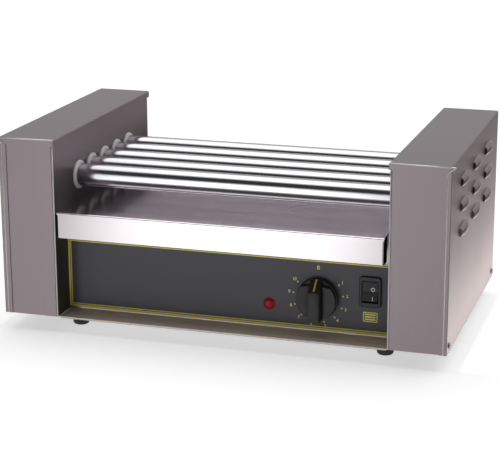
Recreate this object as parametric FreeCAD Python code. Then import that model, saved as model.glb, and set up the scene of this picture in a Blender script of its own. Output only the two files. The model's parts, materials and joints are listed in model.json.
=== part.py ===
import FreeCAD, Part
import math
import os
from FreeCAD import Vector

# Counter-top roller grill: five heated rollers between two sheet-steel end towers, over a
# pull-out drip tray and a recessed control panel.  Millimetres.  +X right, +Y to the back, +Z up.
# The origin is on the table under the middle of the machine.

# ---- driving dimensions ---------------------------------------------------------------------
WIDTH = 545.0            # across the flat outer sides of the tower covers
DEPTH = 320.0            # front to back over the tower covers
HEIGHT = 240.0           # table to tower top
INNER_WALL = 203.6       # centre plane to the wall face that looks at the rollers
SHEET = 1.0              # covers, panels, tray
FRAME_SHEET = 1.2        # tower frames and base
FOOT_HEIGHT = 18.8
FOOT_X, FOOT_Y = 192.0, 115.0

ROLLER_COUNT = 5
ROLLER_RADIUS = 14.0
ROLLER_WALL = 1.5
ROLLER_PITCH = 41.0
ROLLER_Z = 181.0
ROLLER_END = 212.0       # centre plane to the tube's end, inside the tower
RUNNING_FIT = 0.05       # radial clearance of a turning fit
SEAT_FIT = 0.1           # clearance of a fixed seat

PANEL_Y = -122.0         # face of the recessed control panel
REAR_Y = 140.0           # outer face of the rear panel
LEDGE_Y = -156.0         # front edge of the ledge under the panel
TRAY_TOP = 151.0
TRAY_FRONT = -155.3
TRAY_LEFT, TRAY_RIGHT = -202.5, 197.0
TRAY_LIP_BOTTOM = 119.7

COVER_LIP = 8.0          # turned-down lip around the tower top
COVER_FLANGE = 9.5       # turned-in flange on the tower front and back

DIAL_X, DIAL_Z = 112.3, 63.75
KNOB_RADIUS = 25.0
SWITCH_X, SWITCH_Z = 174.75, 76.5
LAMP_X, LAMP_Z = 52.6, 50.7
GLAND_X, GLAND_Z = -150.0, 50.0

TEETH = 12
CHAIN_PITCH = 6.35
CHAIN_LINKS = 76
CHAIN_ROLLER = 1.65      # chain roller radius
CHAIN_PIN = 0.95
CHAIN_X = 220.0          # plane of the chain in the right tower
LINK_PLATE = 0.6         # thickness of a link plate
LINK_HALF = 2.6          # half its height

# ---- sizes that follow ----------------------------------------------------------------------
SIDE = WIDTH / 2
FRONT = -DEPTH / 2
BASE_TOP = FOOT_HEIGHT + FRAME_SHEET
TOWER_BOTTOM = BASE_TOP + SHEET
TOWER_INNER = INNER_WALL - 2.0                     # inner edge of the cover's top
WALL_BACK = INNER_WALL + FRAME_SHEET               # wall face inside the tower
FRAME_OUTER = SIDE - SHEET - SEAT_FIT              # frame flange behind the cover's side
FRAME_FRONT = FRONT + SHEET + SEAT_FIT             # frame face behind the cover's lips
PANEL_HALF = INNER_WALL - 0.2                      # half width of sheets between the walls
TRAY_BOTTOM = TRAY_TOP - SHEET
DECK_TOP = TRAY_BOTTOM - 0.2
ROLLER_Y = [ROLLER_PITCH * (i - (ROLLER_COUNT - 1) / 2) for i in range(ROLLER_COUNT)]
PITCH_RADIUS = CHAIN_PITCH / (2 * math.sin(math.pi / TEETH))
X_AXIS, Y_AXIS, Z_AXIS = Vector(1, 0, 0), Vector(0, 1, 0), Vector(0, 0, 1)
ORIGIN = Vector(0, 0, 0)

os.makedirs("parts", exist_ok=True)


# ---- helpers --------------------------------------------------------------------------------
def save(name, *solids):
    """Write one node; a node of several pieces is a group of separate solids."""
    shape = solids[0] if len(solids) == 1 else Part.makeCompound(list(solids))
    for solid in solids:
        if not solid.isValid():
            print("INVALID", name)
    shape.exportStep("parts/" + name + ".step")
    print(name, len(shape.Solids), round(shape.Volume), "mm3")


def block(x0, x1, y0, y1, z0, z1):
    return Part.makeBox(x1 - x0, y1 - y0, z1 - z0, Vector(x0, y0, z0))


def rod(start, axis, length, radius):
    return Part.makeCylinder(radius, length, Vector(*start), axis)


def tube(start, axis, length, outer, inner):
    return rod(start, axis, length, outer).cut(rod(start, axis, length, inner))


def rounded(shape, radius, wanted):
    """Round every edge whose middle point and direction satisfy wanted(middle, direction)."""
    edges = []
    for edge in shape.Edges:
        middle = edge.valueAt((edge.FirstParameter + edge.LastParameter) / 2)
        direction = edge.tangentAt((edge.FirstParameter + edge.LastParameter) / 2)
        if wanted(middle, direction):
            edges.append(edge)
    return shape.makeFillet(radius, edges)


def along(direction, axis):
    return abs(direction.dot(axis)) > 0.99


def rounded_path(points, radii):
    """Edges of an open path through the points, with an arc of the given radius at each corner."""
    edges = []
    start = points[0]
    for i in range(1, len(points) - 1):
        to_back = (points[i - 1] - points[i]).normalize()
        to_next = (points[i + 1] - points[i]).normalize()
        half = to_back.getAngle(to_next) / 2
        cut = radii[i] / math.tan(half)
        first = points[i] + to_back * cut
        last = points[i] + to_next * cut
        inward = (to_back + to_next).normalize()
        middle = points[i] + inward * (radii[i] / math.sin(half) - radii[i])
        edges.append(Part.LineSegment(start, first).toShape())
        edges.append(Part.Arc(first, middle, last).toShape())
        start = last
    edges.append(Part.LineSegment(start, points[-1]).toShape())
    return edges


def folded(points, plane, low, high, thickness=SHEET, bend=1.0):
    """Folded sheet: the path is its outer surface, the thickness lies on the path's left.

    plane names the two axes of the path; the sheet runs from low to high along the third.
    """
    place = {"xz": lambda a, b, c: Vector(a, c, b),
             "xy": lambda a, b, c: Vector(a, b, c),
             "yz": lambda a, b, c: Vector(c, a, b)}[plane]
    count = len(points)
    steps = []
    for i in range(count - 1):
        run = (points[i + 1][0] - points[i][0], points[i + 1][1] - points[i][1])
        size = math.hypot(*run)
        steps.append((run[0] / size, run[1] / size))
    inner = []
    outer_radii = [0] * count
    inner_radii = [0] * count
    for i in range(count):
        before = steps[max(i - 1, 0)]
        after = steps[min(i, count - 2)]
        turn = before[0] * after[1] - before[1] * after[0]
        normals = (-before[1] - after[1], before[0] + after[0])
        scale = thickness * 2 / (normals[0] ** 2 + normals[1] ** 2)
        inner.append((points[i][0] + normals[0] * scale, points[i][1] + normals[1] * scale))
        outer_radii[i] = bend if turn < 0 else bend + thickness
        inner_radii[i] = bend + thickness if turn < 0 else bend
    outside = rounded_path([place(a, b, low) for a, b in points], outer_radii)
    inside = rounded_path([place(a, b, low) for a, b in inner], inner_radii)
    ends = [Part.LineSegment(place(*points[k], low), place(*inner[k], low)).toShape() for k in (0, -1)]
    face = Part.Face(Part.Wire(Part.__sortEdges__(outside + inside + ends)))
    sweep = place(0, 0, 1) * (high - low)
    return face.extrude(sweep)


def mirrored(shape):
    return shape.mirror(ORIGIN, X_AXIS)


def screw(start, axis, head_radius, head_height, shank_radius, shank_length):
    """Pan-head screw with a cross recess; start is under the head, axis points along the shank."""
    head = rod(start, axis * -1, head_height, head_radius)
    head = rounded(head, head_height * 0.6,
                   lambda m, d: abs((m - Vector(*start)).dot(axis) + head_height) < 1e-6)
    shank = rod(start, axis, shank_length, shank_radius)
    top = Vector(*start) - axis * head_height
    slots = []
    for turn in (0, 90):
        slot = Part.makeBox(head_radius * 1.1, 0.8, 1.2, Vector(-head_radius * 0.55, -0.4, -0.6))
        slot.rotate(ORIGIN, Z_AXIS, turn)
        slot.Placement = FreeCAD.Placement(top, FreeCAD.Rotation(Z_AXIS, axis)).multiply(slot.Placement)
        slots.append(slot)
    return head.fuse(shank).cut(slots[0]).cut(slots[1]).removeSplitter()


# ---- base -----------------------------------------------------------------------------------
GLAND_HOLE = 8.2
FOOT_SPOTS = {"front_left": (-FOOT_X, -FOOT_Y), "front_right": (FOOT_X, -FOOT_Y),
              "rear_left": (-FOOT_X, FOOT_Y), "rear_right": (FOOT_X, FOOT_Y)}
FLANGE_HEIGHT = 18.0
TIE_SCREW_Y = (-90.0, 0.0, 90.0)
TIE_SCREW_Z = BASE_TOP + 11.0
DECK_SCREW_Z = DECK_TOP - 10.0


def tie_screw_spots():
    return [(y, z) for y in TIE_SCREW_Y for z in (TIE_SCREW_Z, DECK_SCREW_Z)]


def cut_tie_holes(shape):
    for y, z in tie_screw_spots():
        shape = shape.cut(rod((-SIDE, y, z), X_AXIS, WIDTH, 2.1))
    return shape


def base_plate():
    rear = REAR_Y - SHEET - 0.2
    points = [(-PANEL_HALF, BASE_TOP - FRAME_SHEET + FLANGE_HEIGHT), (-PANEL_HALF, FOOT_HEIGHT),
              (PANEL_HALF, FOOT_HEIGHT), (PANEL_HALF, BASE_TOP - FRAME_SHEET + FLANGE_HEIGHT)]
    tub = folded(points, "xz", PANEL_Y + 5, rear, FRAME_SHEET)
    shelf = block(-PANEL_HALF + 2, PANEL_HALF - 2, LEDGE_Y, PANEL_Y + 6, FOOT_HEIGHT, BASE_TOP)
    plate = cut_tie_holes(tub.fuse(shelf).removeSplitter())
    for x, y in FOOT_SPOTS.values():
        plate = plate.cut(rod((x, y, 0), Z_AXIS, 40, 2.1))
    return plate


def foot(x, y):
    body = rod((x, y, 0), Z_AXIS, FOOT_HEIGHT, 10.0)
    body = rounded(body, 3.5, lambda m, d: m.z < 0.01)
    body = rounded(body, 0.8, lambda m, d: m.z > FOOT_HEIGHT - 0.01)
    return body.cut(rod((x, y, -1), Z_AXIS, 9, 4.6)).cut(rod((x, y, 0), Z_AXIS, 40, 2.1))


def foot_nut(x, y):
    corners = [Vector(x + 4.04 * math.cos(math.radians(a)), y + 4.04 * math.sin(math.radians(a)), BASE_TOP)
               for a in range(0, 361, 60)]
    nut = Part.Face(Part.makePolygon(corners)).extrude(Vector(0, 0, 3.2))
    return nut.cut(rod((x, y, 0), Z_AXIS, 60, 2.1))


def base_section():
    save("base_plate", base_plate())
    for spot, (x, y) in FOOT_SPOTS.items():
        save("foot_" + spot, foot(x, y))
    save("foot_screws", *[screw((x, y, 8.0), Z_AXIS, 4.0, 2.6, 2.0, 16.0) for x, y in FOOT_SPOTS.values()])
    save("foot_nuts", *[foot_nut(x, y) for x, y in FOOT_SPOTS.values()])


# ---- panels between the towers ---------------------------------------------------------------
SWITCH_CUT = (11.0, 15.2)      # half width and half height of the switch's cut-out
LAMP_HOLE = 5.2
SHAFT_HOLE = 5.0
OVERLAY = 0.3
OVERLAY_BOTTOM = BASE_TOP + SHEET + 3.2
OVERLAY_TOP = 111.5
THERMOSTAT_SCREW = 14.0        # from the dial centre to each thermostat screw
REAR_TOP = 165.0
REAR_FLANGE, REAR_TOP_FLANGE = 15.0, 10.0
REAR_NOTCH = 2.6               # end of the rear panel's bottom flange cut away for the base
VENT_SLOT = (16.0, 4.0)        # length and height of a vent slot
VENT_START = (40.0, 60.0)      # centre of the first slot, X and Z
VENT_PITCH = (24.0, 14.0)
VENT_COUNT = (6, 3)


def cut_controls(shape, y0, y1):
    """Cut the holes for the knob's shaft, its two screws, the switch and the lamp."""
    depth = y1 - y0
    holes = [rod((DIAL_X, y0, DIAL_Z), Y_AXIS, depth, SHAFT_HOLE),
             rod((DIAL_X - THERMOSTAT_SCREW, y0, DIAL_Z), Y_AXIS, depth, 1.8),
             rod((DIAL_X + THERMOSTAT_SCREW, y0, DIAL_Z), Y_AXIS, depth, 1.8),
             rod((LAMP_X, y0, LAMP_Z), Y_AXIS, depth, LAMP_HOLE),
             block(SWITCH_X - SWITCH_CUT[0], SWITCH_X + SWITCH_CUT[0], y0, y1,
                   SWITCH_Z - SWITCH_CUT[1], SWITCH_Z + SWITCH_CUT[1])]
    for hole in holes:
        shape = shape.cut(hole)
    return shape


def front_panel():
    flange = 14.0
    top = DECK_TOP - SHEET
    points = [(PANEL_Y + flange, top), (PANEL_Y, top),
              (PANEL_Y, BASE_TOP + SHEET), (LEDGE_Y, BASE_TOP + SHEET)]
    panel = folded(points, "yz", -PANEL_HALF, PANEL_HALF, bend=2.5)
    return cut_controls(panel, PANEL_Y - 1, PANEL_Y + 2)


def panel_overlay():
    sticker = block(-PANEL_HALF, PANEL_HALF, PANEL_Y - OVERLAY, PANEL_Y, OVERLAY_BOTTOM, OVERLAY_TOP)
    return cut_controls(sticker, PANEL_Y - 1, PANEL_Y + 1)


def rear_panel():
    """Back between the towers, with vent slots; its bottom flange stops short of the base's sides."""
    points = [(REAR_Y - REAR_FLANGE, BASE_TOP), (REAR_Y, BASE_TOP), (REAR_Y, REAR_TOP),
              (REAR_Y - REAR_TOP_FLANGE, REAR_TOP)]
    panel = folded(points, "yz", -PANEL_HALF, PANEL_HALF)
    for edge in (-PANEL_HALF, PANEL_HALF - REAR_NOTCH):
        panel = panel.cut(block(edge, edge + REAR_NOTCH, REAR_Y - REAR_FLANGE, REAR_Y - SHEET,
                                BASE_TOP, BASE_TOP + SHEET * 2))
    panel = panel.cut(rod((GLAND_X, REAR_Y - SHEET * 2, GLAND_Z), Y_AXIS, SHEET * 3, GLAND_HOLE))
    half_long, half_high = VENT_SLOT[0] / 2, VENT_SLOT[1] / 2
    for column in range(VENT_COUNT[0]):
        for row in range(VENT_COUNT[1]):
            x = VENT_START[0] + VENT_PITCH[0] * column
            z = VENT_START[1] + VENT_PITCH[1] * row
            slot = block(x - half_long, x + half_long, REAR_Y - SHEET * 2, REAR_Y + SHEET,
                         z - half_high, z + half_high)
            panel = panel.cut(rounded(slot, half_high - 0.1, lambda m, d: along(d, Y_AXIS)))
    return panel


def deck():
    points = [(PANEL_HALF, DECK_TOP - FLANGE_HEIGHT), (PANEL_HALF, DECK_TOP),
              (-PANEL_HALF, DECK_TOP), (-PANEL_HALF, DECK_TOP - FLANGE_HEIGHT)]
    plate = folded(points, "xz", PANEL_Y + 16.0, REAR_Y - SHEET - 1.2)
    front = block(-PANEL_HALF + 2, PANEL_HALF - 2, PANEL_Y + 0.2, PANEL_Y + 17, DECK_TOP - SHEET, DECK_TOP)
    return cut_tie_holes(plate.fuse(front).removeSplitter())


def tray():
    """Flat pan with an upturned rear edge; its deep front lip turns back at both ends."""
    rear = 118.0
    lip_return = 16.0
    lip_top = TRAY_BOTTOM - 1.0
    points = [(rear, TRAY_TOP + 9), (rear, TRAY_TOP), (TRAY_FRONT, TRAY_TOP), (TRAY_FRONT, lip_top - 1)]
    pan = folded(points, "yz", TRAY_LEFT, TRAY_RIGHT, bend=0.8)
    points = [(TRAY_LEFT, TRAY_FRONT + lip_return), (TRAY_LEFT, TRAY_FRONT),
              (TRAY_RIGHT, TRAY_FRONT), (TRAY_RIGHT, TRAY_FRONT + lip_return)]
    lip = folded(points, "xy", TRAY_LIP_BOTTOM, lip_top, bend=0.8)
    ears = [block(x, x + SHEET, TRAY_FRONT + 3, TRAY_FRONT + lip_return, lip_top - 1, TRAY_BOTTOM + 0.5)
            for x in (TRAY_LEFT, TRAY_RIGHT - SHEET)]
    return pan.fuse(lip).fuse(ears[0]).fuse(ears[1]).removeSplitter()


def tie_screws():
    return [screw((side * (INNER_WALL + FRAME_SHEET), y, z), X_AXIS * -side, 3.6, 2.4, 2.0, 6.0)
            for side in (-1, 1) for y, z in tie_screw_spots()]


def panel_section():
    save("front_panel", front_panel())
    save("panel_overlay", panel_overlay())
    save("rear_panel", rear_panel())
    save("tray_deck", deck())
    save("drip_tray", tray())
    save("tie_screws", *tie_screws())


# ---- towers ---------------------------------------------------------------------------------
FRAME_RETURN = 19.0                    # frame flange behind the cover's side
FRAME_BEND = 1.3
BUSH_FLANGE, BUSH_SLEEVE = 17.5, 16.0
COVER_SCREW_SPOTS = [(-149.0, 30.0), (149.0, 30.0)]
LOUVRE_Y = (-97.0, -16.0, 65.0)        # open front end of each louvre
LOUVRE_Z = (148.6, 178.5, 208.0)
LOUVRE_LENGTH = 62.0
LOUVRE_HALF = 8.5                      # half height where it is widest
LOUVRE_RISE = 5.0                      # how far it stands out of the cover


def tower_frame():
    """Right tower: inner wall, front, back and their return flanges, open underneath."""
    points = [(FRAME_OUTER, -FRAME_FRONT - FRAME_RETURN), (FRAME_OUTER, -FRAME_FRONT),
              (INNER_WALL, -FRAME_FRONT), (INNER_WALL, FRAME_FRONT),
              (FRAME_OUTER, FRAME_FRONT), (FRAME_OUTER, FRAME_FRONT + FRAME_RETURN)]
    frame = folded(points, "xy", TOWER_BOTTOM, HEIGHT - SHEET - 0.4, FRAME_SHEET, FRAME_BEND)
    for y in ROLLER_Y:
        frame = frame.cut(rod((INNER_WALL - 1, y, ROLLER_Z), X_AXIS, 4, BUSH_SLEEVE + SEAT_FIT))
    for y, z in tie_screw_spots():
        frame = frame.cut(rod((INNER_WALL - 1, y, z), X_AXIS, 4, 2.1))
    for y, z in COVER_SCREW_SPOTS:
        frame = frame.cut(rod((FRAME_OUTER - 3, y, z), X_AXIS, 6, 2.1))
    return frame


def louvre(y, z, grow):
    """Spindle-shaped pressing lying along Y, its axis a little inside the cover; grow offsets it."""
    half = LOUVRE_LENGTH * 0.66
    middle = y + LOUVRE_LENGTH - half
    axis_x = SIDE + LOUVRE_RISE - LOUVRE_HALF
    radius = LOUVRE_HALF + grow
    reach = half + grow * 3
    curve = Part.Arc(Vector(axis_x, middle - reach, z), Vector(axis_x + radius, middle, z),
                     Vector(axis_x, middle + reach, z)).toShape()
    chord = Part.LineSegment(Vector(axis_x, middle - reach, z), Vector(axis_x, middle + reach, z)).toShape()
    spindle = Part.Face(Part.Wire([curve, chord])).revolve(Vector(axis_x, middle, z), Y_AXIS, 360)
    keep = block(SIDE - SHEET, SIDE + 20, y, y + LOUVRE_LENGTH + 20, z - 20, z + 20)
    return spindle.common(keep)


def cover():
    """Right cover: top and outer side in one sheet, with lips and flanges over the frame."""
    points = [(SIDE, TOWER_BOTTOM), (SIDE, HEIGHT), (TOWER_INNER, HEIGHT),
              (TOWER_INNER, HEIGHT - COVER_LIP)]
    shell = folded(points, "xz", FRONT, -FRONT, bend=0.8)
    for y in (FRONT, -FRONT - SHEET):
        lip = block(TOWER_INNER + 0.5, SIDE - 0.5, y, y + SHEET, HEIGHT - COVER_LIP, HEIGHT - 0.5)
        flange = block(SIDE - COVER_FLANGE, SIDE - 0.5, y, y + SHEET, TOWER_BOTTOM, HEIGHT - 0.5)
        lip = rounded(lip, 1.2, lambda m, d: along(d, Y_AXIS) and m.z > HEIGHT - 1)
        flange = rounded(flange, 1.2, lambda m, d: along(d, Y_AXIS) and m.z > HEIGHT - 1 and m.x > SIDE - 1)
        shell = shell.fuse(lip).fuse(flange)
    shell = shell.removeSplitter()
    shell = rounded(shell, 0.7, lambda m, d: abs(abs(m.y) + FRONT) < 0.01 and not along(d, Y_AXIS)
                    and (m.z > HEIGHT - 1.9 or m.x > SIDE - 1.9 or m.x < TOWER_INNER + 0.1)
                    and m.z > TOWER_BOTTOM + 1)
    mitre = math.hypot(COVER_FLANGE, COVER_LIP)
    for y in (FRONT, -FRONT):
        groove = Part.makeBox(mitre - 2.6, 0.7, 0.25, Vector(1.6, -0.35, -0.125))
        groove.rotate(ORIGIN, Y_AXIS, 180 - math.degrees(math.atan2(COVER_LIP, COVER_FLANGE)))
        groove.translate(Vector(SIDE, y, HEIGHT))
        shell = shell.cut(groove)
    for y in LOUVRE_Y:
        for z in LOUVRE_Z:
            shell = shell.fuse(louvre(y, z, 0)).cut(louvre(y - 1, z, -SHEET))
    for y, z in COVER_SCREW_SPOTS:
        shell = shell.cut(rod((SIDE - 3, y, z), X_AXIS, 6, 2.1))
    return shell


def bush(y):
    """Flanged bush, right side; the flange looks at the rollers."""
    flange = rod((INNER_WALL - 2.5, y, ROLLER_Z), X_AXIS, 2.5, BUSH_FLANGE)
    flange = rounded(flange, 1.2, lambda m, d: m.x < INNER_WALL - 2.4)
    sleeve = rod((INNER_WALL - 0.5, y, ROLLER_Z), X_AXIS, 6, BUSH_SLEEVE)
    bore = rod((INNER_WALL - 5, y, ROLLER_Z), X_AXIS, 20, ROLLER_RADIUS + RUNNING_FIT)
    return flange.fuse(sleeve).cut(bore)


def tower_section():
    frame = tower_frame()
    shell = cover()
    bushes = [bush(y) for y in ROLLER_Y]
    screws = [screw((SIDE, y, z), X_AXIS * -1, 3.4, 1.9, 2.0, 7.0) for y, z in COVER_SCREW_SPOTS]
    save("right_tower_frame", frame)
    save("left_tower_frame", mirrored(frame))
    save("right_tower_cover", shell)
    save("left_tower_cover", mirrored(shell))
    save("right_bushes", *bushes)
    save("left_bushes", *[mirrored(piece) for piece in bushes])
    save("cover_screws", *screws, *[mirrored(piece) for piece in screws])


# ---- chain drive ----------------------------------------------------------------------------
def loop_path(centres):
    """Straight runs and arcs of a taut loop round equal pitch circles, clockwise in Y-Z."""
    normals = []
    for i, centre in enumerate(centres):
        after = centres[(i + 1) % len(centres)]
        size = math.hypot(after[0] - centre[0], after[1] - centre[1])
        normals.append((-(after[1] - centre[1]) / size, (after[0] - centre[0]) / size))
    pieces = []
    for i, centre in enumerate(centres):
        k = (i + 1) % len(centres)
        run = math.hypot(centres[k][0] - centre[0], centres[k][1] - centre[1])
        pieces.append(("line", centre, centres[k], normals[i], run))
        start = math.atan2(normals[i][1], normals[i][0])
        sweep = (start - math.atan2(normals[k][1], normals[k][0])) % (2 * math.pi)
        pieces.append(("arc", centres[k], start, sweep, sweep * PITCH_RADIUS))
    return pieces


def loop_point(pieces, distance):
    """Point at a distance along the loop, with the index of the sprocket whose arc holds it."""
    distance = distance % sum(piece[4] for piece in pieces)
    for index, piece in enumerate(pieces):
        if distance <= piece[4]:
            break
        distance -= piece[4]
    if piece[0] == "line":
        part = distance / piece[4]
        y = piece[1][0] + (piece[2][0] - piece[1][0]) * part + piece[3][0] * PITCH_RADIUS
        z = piece[1][1] + (piece[2][1] - piece[1][1]) * part + piece[3][1] * PITCH_RADIUS
        return (y, z), None
    angle = piece[2] - distance / PITCH_RADIUS
    point = (piece[1][0] + PITCH_RADIUS * math.cos(angle), piece[1][1] + PITCH_RADIUS * math.sin(angle))
    return point, (index // 2 + 1) % (len(pieces) // 2)


def chain_joints(centres):
    """Joint positions one pitch apart round the loop, and how far the last one is from closing."""
    pieces = loop_path(centres)
    place = 0.0
    joints = []
    for _ in range(CHAIN_LINKS):
        joints.append(loop_point(pieces, place))
        here = joints[-1][0]
        low, high = place + CHAIN_PITCH * 0.99, place + CHAIN_PITCH * 1.1
        for _ in range(40):
            place = (low + high) / 2
            ahead = loop_point(pieces, place)[0]
            if math.hypot(ahead[0] - here[0], ahead[1] - here[1]) < CHAIN_PITCH:
                low = place
            else:
                high = place
    return joints, place - sum(piece[4] for piece in pieces)


def drive_centres(motor_z):
    return [(ROLLER_Y[0], ROLLER_Z), (ROLLER_Y[-1], ROLLER_Z), (0.0, motor_z)]


def motor_height():
    """Height of the motor shaft at which a whole number of links closes the chain."""
    low, high = ROLLER_Z - 130, ROLLER_Z - 60
    for _ in range(50):
        middle = (low + high) / 2
        if chain_joints(drive_centres(middle))[1] < 0:
            low = middle
        else:
            high = middle
    return (low + high) / 2


def sprocket(y, z, gap_angle, x0, hub_x, bore):
    """Toothed disc across the chain plane, with a hub from hub_x, and one gap at gap_angle."""
    tip = PITCH_RADIUS + 1.1
    disc = rod((x0, y, z), X_AXIS, 2.8, tip)
    flare = math.tan(math.radians(25))
    seat = CHAIN_ROLLER + 0.1
    for k in range(TEETH):
        angle = gap_angle + k * 2 * math.pi / TEETH
        along_gap = Vector(0, math.cos(angle), math.sin(angle))
        across = Vector(0, -math.sin(angle), math.cos(angle))
        centre = Vector(x0, y, z) + along_gap * PITCH_RADIUS
        wide = along_gap * 3 + across * (seat + 3 * flare)
        wide_other = along_gap * 3 - across * (seat + 3 * flare)
        corners = [centre + across * seat, centre + wide, centre + wide_other, centre - across * seat]
        outline = Part.makePolygon([c - X_AXIS for c in corners + corners[:1]])
        mouth = Part.Face(outline).extrude(X_AXIS * 5)
        disc = disc.cut(mouth).cut(rod((x0 - 1, centre.y, centre.z), X_AXIS, 5, seat))
    hub_start = min(hub_x, x0 + 1)
    hub_end = max(hub_x, x0 + 1)
    hub = rod((hub_start, y, z), X_AXIS, hub_end - hub_start, 8.0)
    return disc.fuse(hub).cut(rod((x0 - 20, y, z), X_AXIS, 40, bore)).removeSplitter()


def link_plate(start, end, x0, thickness, half_height):
    """Flat link plate with round ends over two neighbouring joints."""
    run = Vector(0, end[0] - start[0], end[1] - start[1])
    side = X_AXIS.cross(run).normalize() * half_height
    first = Vector(x0, start[0], start[1])
    second = Vector(x0, end[0], end[1])
    out = Vector(run).normalize() * half_height
    edges = [Part.LineSegment(first + side, second + side).toShape(),
             Part.Arc(second + side, second + out, second - side).toShape(),
             Part.LineSegment(second - side, first - side).toShape(),
             Part.Arc(first - side, first - out, first + side).toShape()]
    return Part.Face(Part.Wire(edges)).extrude(X_AXIS * thickness)


def inner_link(start, end):
    """Two plates pressed on two bored chain rollers."""
    link = link_plate(start, end, CHAIN_X + 1.6, LINK_PLATE, LINK_HALF)
    link = link.fuse(link_plate(start, end, CHAIN_X - 1.6 - LINK_PLATE, LINK_PLATE, LINK_HALF))
    for y, z in (start, end):
        link = link.fuse(rod((CHAIN_X - 1.7, y, z), X_AXIS, 3.4, CHAIN_ROLLER))
    for y, z in (start, end):
        link = link.cut(rod((CHAIN_X - 5, y, z), X_AXIS, 10, CHAIN_PIN + RUNNING_FIT))
    return link


def outer_link(start, end):
    """Two plates outside the inner links, riveted on two pins."""
    link = link_plate(start, end, CHAIN_X + 2.25, LINK_PLATE, LINK_HALF)
    link = link.fuse(link_plate(start, end, CHAIN_X - 2.25 - LINK_PLATE, LINK_PLATE, LINK_HALF))
    for y, z in (start, end):
        link = link.fuse(rod((CHAIN_X - 3.2, y, z), X_AXIS, 6.4, CHAIN_PIN))
    return link


STUB_RADIUS = 5.0
MOTOR_SHAFT = 4.0
ROLLER_HUB_X = 214.2
MOTOR_HUB_X = 226.0
SPROCKET_BACK = CHAIN_X - 1.4


def drive_section():
    motor_z = motor_height()
    joints = chain_joints(drive_centres(motor_z))[0]
    points = [joint[0] for joint in joints]
    inner, outer = [], []
    for k in range(CHAIN_LINKS):
        start, end = points[k], points[(k + 1) % CHAIN_LINKS]
        if k % 2 == 0:
            inner.append(inner_link(start, end))
        else:
            outer.append(outer_link(start, end))
    save("chain_inner_links", *inner)
    save("chain_outer_links", *outer)

    def gap_angle(centre, circle):
        if circle is not None:
            y, z = [joint[0] for joint in joints if joint[1] == circle][1]
            return math.atan2(z - centre[1], y - centre[0])
        top = ROLLER_Z + PITCH_RADIUS
        offset = min((y - centre[0] for y, z in points if abs(z - top) < 0.01), key=abs)
        return math.pi / 2 - offset / CHAIN_PITCH * 2 * math.pi / TEETH

    circles = {0: 0, ROLLER_COUNT - 1: 1}
    for i, y in enumerate(ROLLER_Y):
        name = "roller_" + str(i + 1)
        save(name + "_tube", roller_tube(y))
        save(name + "_end_fittings", *end_fittings(y))
        angle = gap_angle((y, ROLLER_Z), circles.get(i))
        save(name + "_sprocket", sprocket(y, ROLLER_Z, angle, SPROCKET_BACK, ROLLER_HUB_X,
                                        STUB_RADIUS + RUNNING_FIT))
    motor_angle = gap_angle((0.0, motor_z), 2)
    save("motor_sprocket", sprocket(0.0, motor_z, motor_angle, SPROCKET_BACK, MOTOR_HUB_X,
                                    MOTOR_SHAFT + RUNNING_FIT))
    motor_pieces(motor_z)
    print("motor shaft height", round(motor_z, 3))


def roller_tube(y):
    shell = tube((-ROLLER_END, y, ROLLER_Z), X_AXIS, 2 * ROLLER_END,
                 ROLLER_RADIUS, ROLLER_RADIUS - ROLLER_WALL)
    return rounded(shell, 0.5, lambda m, d: abs(abs(m.x) - ROLLER_END) < 0.01
                   and abs(math.hypot(m.y - y, m.z - ROLLER_Z) - ROLLER_RADIUS) < 0.01)


def end_fittings(y):
    """Drive plug with its stub shaft on the right, retaining collar on the left."""
    inside = ROLLER_RADIUS - ROLLER_WALL - RUNNING_FIT
    stub_length = 11.0
    plug_depth = 12.0
    flange_width, flange_radius = 1.9, 15.5
    collar_width, collar_radius = 2.0, 16.0
    plug = rod((ROLLER_END - plug_depth, y, ROLLER_Z), X_AXIS, plug_depth + 0.5, inside)
    plug = plug.fuse(rod((ROLLER_END + 0.1, y, ROLLER_Z), X_AXIS, flange_width, flange_radius))
    plug = plug.fuse(rod((ROLLER_END + 1, y, ROLLER_Z), X_AXIS, stub_length, STUB_RADIUS))
    plug = rounded(plug, 0.6, lambda m, d: m.x > ROLLER_END + stub_length + 0.9)
    collar = tube((-ROLLER_END + 0.2, y, ROLLER_Z), X_AXIS, collar_width, collar_radius,
                  ROLLER_RADIUS + RUNNING_FIT)
    return plug.removeSplitter(), collar


# ---- gear motor -----------------------------------------------------------------------------
MOTOR_PLATE_X = 229.0


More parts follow.
